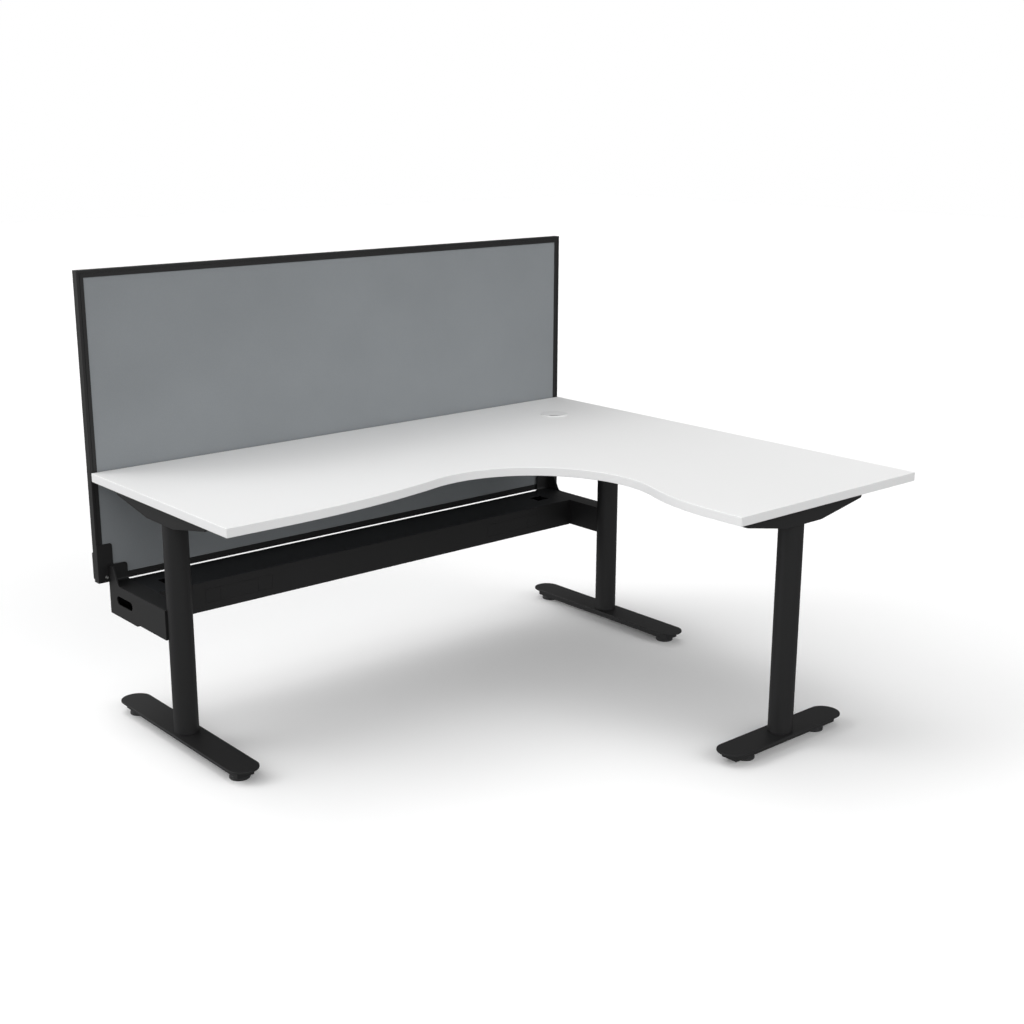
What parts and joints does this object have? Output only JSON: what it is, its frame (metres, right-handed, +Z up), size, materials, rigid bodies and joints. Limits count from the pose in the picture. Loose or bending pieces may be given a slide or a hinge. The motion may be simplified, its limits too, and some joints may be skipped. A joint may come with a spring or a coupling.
{
  "type": "corner workstation",
  "caption": "L-shaped corner workstation: white worktop with a curved front edge on round steel legs with levelling feet, with a cable beam and a framed fabric screen along its long side.",
  "frame": {"origin": "on the floor under the levelling feet, in the middle of the footprint of the worktop and the screen", "axes": "+X to the right along the screen as the user sees it, +Y towards the screen, +Z up"},
  "size_m": [1.8, 1.534, 1.3],
  "materials": {
    "laminate": "white laminate, satin",
    "edging": "white edge band",
    "grommet": "white moulded plastic",
    "black_steel": "black powder coat, fine texture",
    "frame": "extruded frame, black powder coat",
    "pad": "black moulded plastic",
    "zinc": "zinc plated",
    "keys": "mill finish",
    "fabric": "woven grey panel fabric",
    "core": "light panel board"
  },
  "bodies": {
    "root": {"worktop_board": "laminate", "edge_band": "edging", "grommet_ring": "grommet", "left_column": "black_steel", "back_column": "black_steel", "return_column": "black_steel", "left_arm": "black_steel", "back_arm": "black_steel", "return_arm": "black_steel", "left_foot_plate": "black_steel", "back_foot_plate": "black_steel", "return_foot_plate": "black_steel", "left_foot_rail": "black_steel", "back_foot_rail": "black_steel", "return_foot_rail": "black_steel", "beam_channel": "black_steel", "beam_deck": "black_steel", "left_outlet_blank": "black_steel", "right_outlet_blank": "black_steel", "left_bracket_arm": "black_steel", "right_bracket_arm": "black_steel", "left_saddle": "black_steel", "right_saddle": "black_steel", "left_end_plate": "black_steel", "right_end_plate": "black_steel", "left_screen_clamp": "black_steel", "right_screen_clamp": "black_steel", "left_clamp_backing": "black_steel", "right_clamp_backing": "black_steel", "screen_screws": "black_steel", "frame_top": "frame", "frame_bottom": "frame", "frame_left": "frame", "frame_right": "frame", "leveller_nuts": "zinc", "foot_bolts": "zinc", "arm_bolts": "zinc", "worktop_screws": "zinc", "beam_bolts": "zinc", "bracket_bolts": "zinc", "clamp_screws": "zinc", "corner_keys": "keys", "screen_fabric_front": "fabric", "screen_fabric_back": "fabric", "screen_core": "core"},
    "left_front_leveller": {"left_front_pad": "pad", "left_front_stem": "zinc"},
    "left_rear_leveller": {"left_rear_pad": "pad", "left_rear_stem": "zinc"},
    "back_front_leveller": {"back_front_pad": "pad", "back_front_stem": "zinc"},
    "back_rear_leveller": {"back_rear_pad": "pad", "back_rear_stem": "zinc"},
    "return_inner_leveller": {"return_inner_pad": "pad", "return_inner_stem": "zinc"},
    "return_outer_leveller": {"return_outer_pad": "pad", "return_outer_stem": "zinc"},
    "cap": {"grommet_cap": "grommet"}
  },
  "joints": [
    {"name": "left_front_leveller_screw", "type": "slide", "parent": "root", "child": "left_front_leveller", "axis": [0, 0, -1], "range_m": [0, 0.01]},
    {"name": "left_rear_leveller_screw", "type": "slide", "parent": "root", "child": "left_rear_leveller", "axis": [0, 0, -1], "range_m": [0, 0.01]},
    {"name": "back_front_leveller_screw", "type": "slide", "parent": "root", "child": "back_front_leveller", "axis": [0, 0, -1], "range_m": [0, 0.01]},
    {"name": "back_rear_leveller_screw", "type": "slide", "parent": "root", "child": "back_rear_leveller", "axis": [0, 0, -1], "range_m": [0, 0.01]},
    {"name": "return_inner_leveller_screw", "type": "slide", "parent": "root", "child": "return_inner_leveller", "axis": [0, 0, -1], "range_m": [0, 0.01]},
    {"name": "return_outer_leveller_screw", "type": "slide", "parent": "root", "child": "return_outer_leveller", "axis": [0, 0, -1], "range_m": [0, 0.01]},
    {"name": "grommet_cap_lift", "type": "slide", "parent": "root", "child": "cap", "axis": [0, 0, 1], "range_m": [0, 0.04]}
  ]
}
